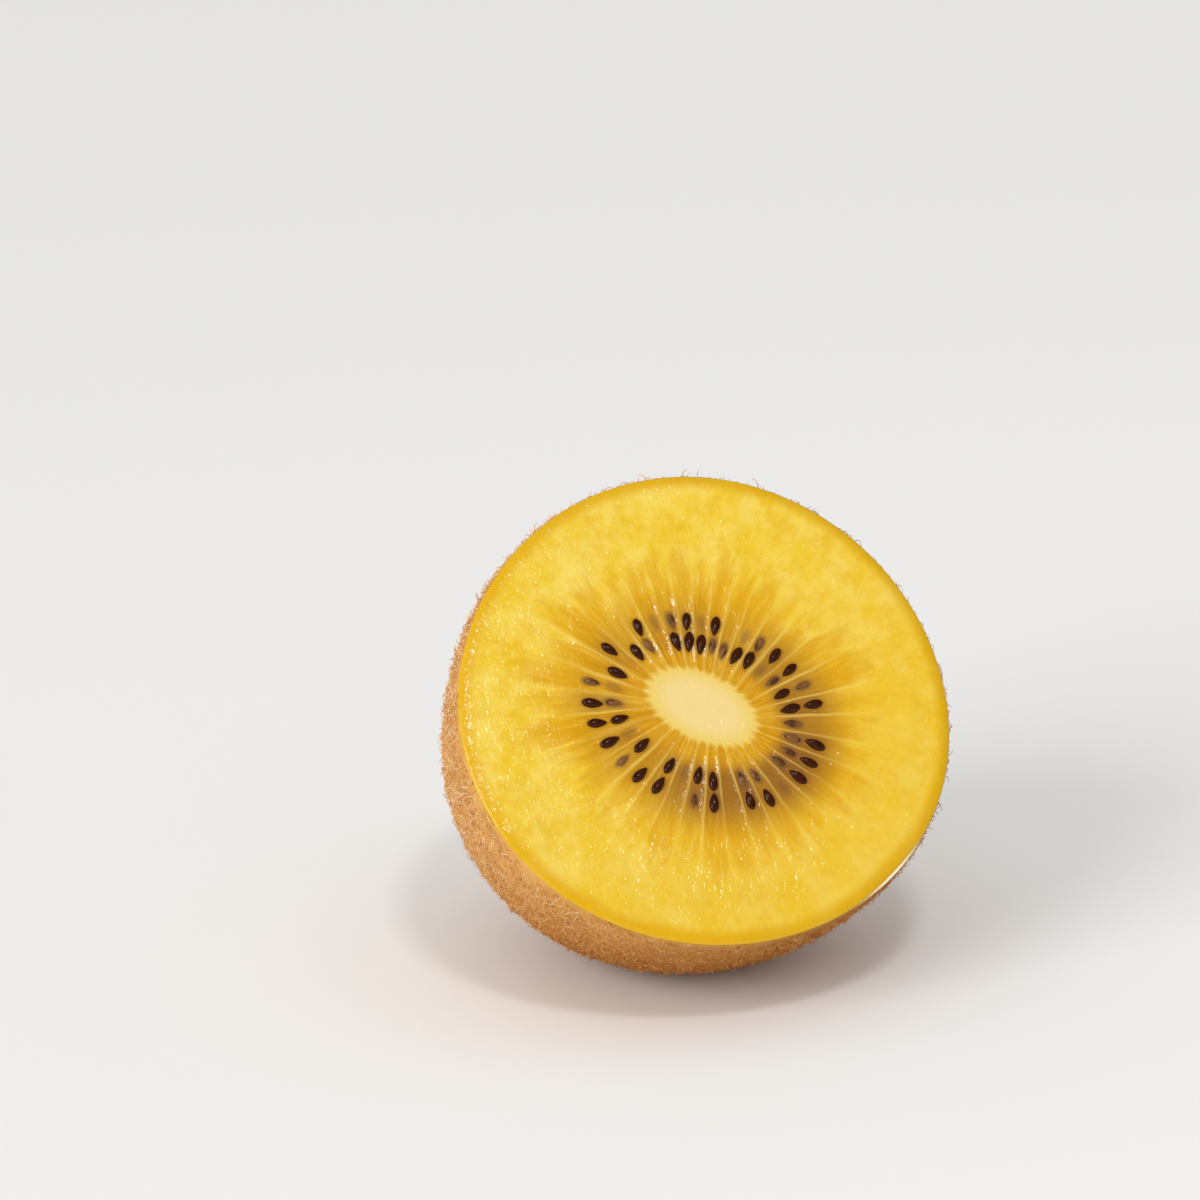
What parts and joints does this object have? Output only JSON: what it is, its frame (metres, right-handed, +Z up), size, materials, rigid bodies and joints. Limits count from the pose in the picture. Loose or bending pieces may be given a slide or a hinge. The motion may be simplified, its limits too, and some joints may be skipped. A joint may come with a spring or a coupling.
{
  "type": "golden kiwi fruit half",
  "caption": "Half of a golden kiwi fruit, cut across and lying on its fuzzy brown skin, with a pale core and rings of dark seeds in yellow flesh.",
  "frame": {"origin": "middle of the small flat spot on the skin that the half rests on", "axes": "+Z up; the cut face looks towards -Y and leans back 40 degrees from upright; the stem end points towards +Y and down; +X is to the right when looking at the cut face"},
  "size_m": [0.0536, 0.0496, 0.0505],
  "materials": {
    "skin": "thin fuzzy brown peel with short curled hairs",
    "flesh": "wet golden yellow flesh with pale rays and dark glossy seeds",
    "core": "moist pale cream core",
    "stem_scar": "dry brown woody scar"
  },
  "bodies": {
    "root": {"skin": "skin", "flesh": "flesh", "core": "core", "stem_scar": "stem_scar"}
  },
  "joints": []
}
